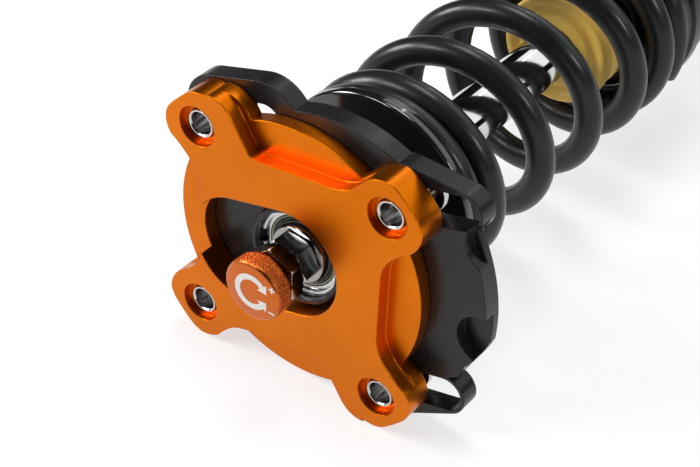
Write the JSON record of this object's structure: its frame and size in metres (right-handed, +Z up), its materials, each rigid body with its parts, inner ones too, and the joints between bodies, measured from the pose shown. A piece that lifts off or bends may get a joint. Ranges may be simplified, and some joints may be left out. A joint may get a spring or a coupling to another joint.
{
  "type": "coilover suspension strut",
  "caption": "Front coilover strut with camber-adjustable spherical top mount, coil spring, threaded damper body and knuckle bracket.",
  "frame": {"origin": "middle of the footprint, on the surface the strut lies on", "axes": "strut lies along Y with the adjuster knob at -Y and the knuckle bracket at +Y; +Z up; +X to the right seen from the knob"},
  "size_m": [0.1366, 0.4708, 0.1216],
  "materials": {
    "orange_anodised": "orange anodised, satin",
    "red_anodised": "copper-red anodised, satin, diamond knurled rim",
    "black_anodised": "black hard anodised, satin",
    "gloss_black": "gloss black",
    "black_steel": "black powder coat, satin",
    "spring_steel": "graphite metallic coat, semi-gloss",
    "bright_steel": "turned and polished steel",
    "dark_chrome": "dark chrome",
    "hard_chrome": "ground hard chrome",
    "liner_fabric": "woven low-friction liner, pale green-white",
    "bump_foam": "ochre microcellular polyurethane, matt",
    "black_rubber": "black nitrile",
    "bronze": "turned bronze",
    "black_oxide": "black oxide"
  },
  "bodies": {
    "damper_body": {"body_tube": "black_steel", "gland_nut": "black_anodised", "rod_seal": "black_rubber", "rod_guide": "bronze", "bump_stop": "bump_foam", "foot_plug": "bright_steel", "gas_valve": "bronze", "knuckle_bracket": "black_steel", "bracket_lock_ring": "orange_anodised"},
    "rod": {"piston_rod": "hard_chrome", "upper_perch": "gloss_black", "bump_striker": "gloss_black", "lower_spacer": "bright_steel", "upper_collar": "bright_steel", "top_nut": "dark_chrome", "spring": "spring_steel", "rebound_stop": "black_rubber", "rebound_shims": "bright_steel", "piston": "bronze", "piston_band": "black_rubber", "compression_shims": "bright_steel", "piston_nut": "bright_steel"},
    "gas_piston": {"gas_piston": "bronze", "gas_piston_seal": "black_rubber"},
    "ball": {"bearing_ball": "dark_chrome"},
    "liner": {"bearing_liner": "liner_fabric"},
    "bearing_plate": {"bearing_plate": "black_anodised", "bearing_race": "bright_steel", "retaining_ring": "bright_steel"},
    "top_plate": {"top_plate": "orange_anodised", "clamp_bush_1": "bright_steel", "clamp_bush_2": "bright_steel", "clamp_bush_3": "bright_steel", "clamp_bush_4": "bright_steel"},
    "knob": {"rebound_knob": "red_anodised", "knob_set_screw": "black_oxide", "adjuster_shaft": "bright_steel"},
    "needle": {"metering_needle": "bronze"},
    "seat": {"lower_seat": "black_anodised"},
    "seat_ring": {"seat_ring": "black_anodised"},
    "seat_lock_ring": {"seat_lock_ring": "orange_anodised"}
  },
  "joints": [
    {"name": "damper_stroke", "type": "slide", "parent": "damper_body", "child": "rod", "axis": [0, 1, 0], "range_m": [0, 0.09], "stiffness_N_per_m": 60000, "deforming": ["spring"]},
    {"name": "gas_piston_slide", "type": "slide", "parent": "damper_body", "child": "gas_piston", "axis": [0, 1, 0], "range_m": [0, 0.021]},
    {"name": "steer", "type": "hinge", "parent": "rod", "child": "ball", "pos_m": [-0.01042, -0.1992, 0.058], "axis": [0, -1, 0], "range_deg": [-45, 45]},
    {"name": "tilt_fore_aft", "type": "hinge", "parent": "ball", "child": "liner", "pos_m": [-0.01042, -0.1992, 0.058], "axis": [0, 0, 1], "range_deg": [-8, 8]},
    {"name": "tilt_side", "type": "hinge", "parent": "liner", "child": "bearing_plate", "pos_m": [-0.01042, -0.1992, 0.058], "axis": [1, 0, 0], "range_deg": [-8, 8]},
    {"name": "camber_slide", "type": "slide", "parent": "bearing_plate", "child": "top_plate", "axis": [0.9701, 0, 0.2425], "range_m": [0, 0.0226]},
    {"name": "rebound_knob_turn", "type": "hinge", "parent": "rod", "child": "knob", "pos_m": [-0.01042, -0.2314, 0.058], "axis": [0, 1, 0], "range_deg": [0, 720]},
    {"name": "needle_feed", "type": "slide", "parent": "rod", "child": "needle", "axis": [0, 1, 0], "range_m": [0, 0.001]},
    {"name": "seat_height", "type": "slide", "parent": "damper_body", "child": "seat", "axis": [0, 1, 0], "range_m": [0, 0.01]},
    {"name": "seat_ring_turn", "type": "hinge", "parent": "seat", "child": "seat_ring", "pos_m": [-0.01042, 0.0354, 0.058], "axis": [0, 1, 0], "range_deg": [0, 1800]},
    {"name": "seat_lock_ring_turn", "type": "hinge", "parent": "seat", "child": "seat_lock_ring", "pos_m": [-0.01042, 0.0474, 0.058], "axis": [0, 1, 0], "range_deg": [0, 1800]}
  ],
  "couplings": [
    {"joint": "gas_piston_slide", "follows": "damper_stroke", "ratio": 0.229},
    {"joint": "needle_feed", "follows": "rebound_knob_turn", "m_per_rad": 0.000079577},
    {"joint": "seat_height", "follows": "seat_ring_turn", "m_per_rad": 0.00031831},
    {"joint": "seat_lock_ring_turn", "follows": "seat_ring_turn", "ratio": 1}
  ]
}
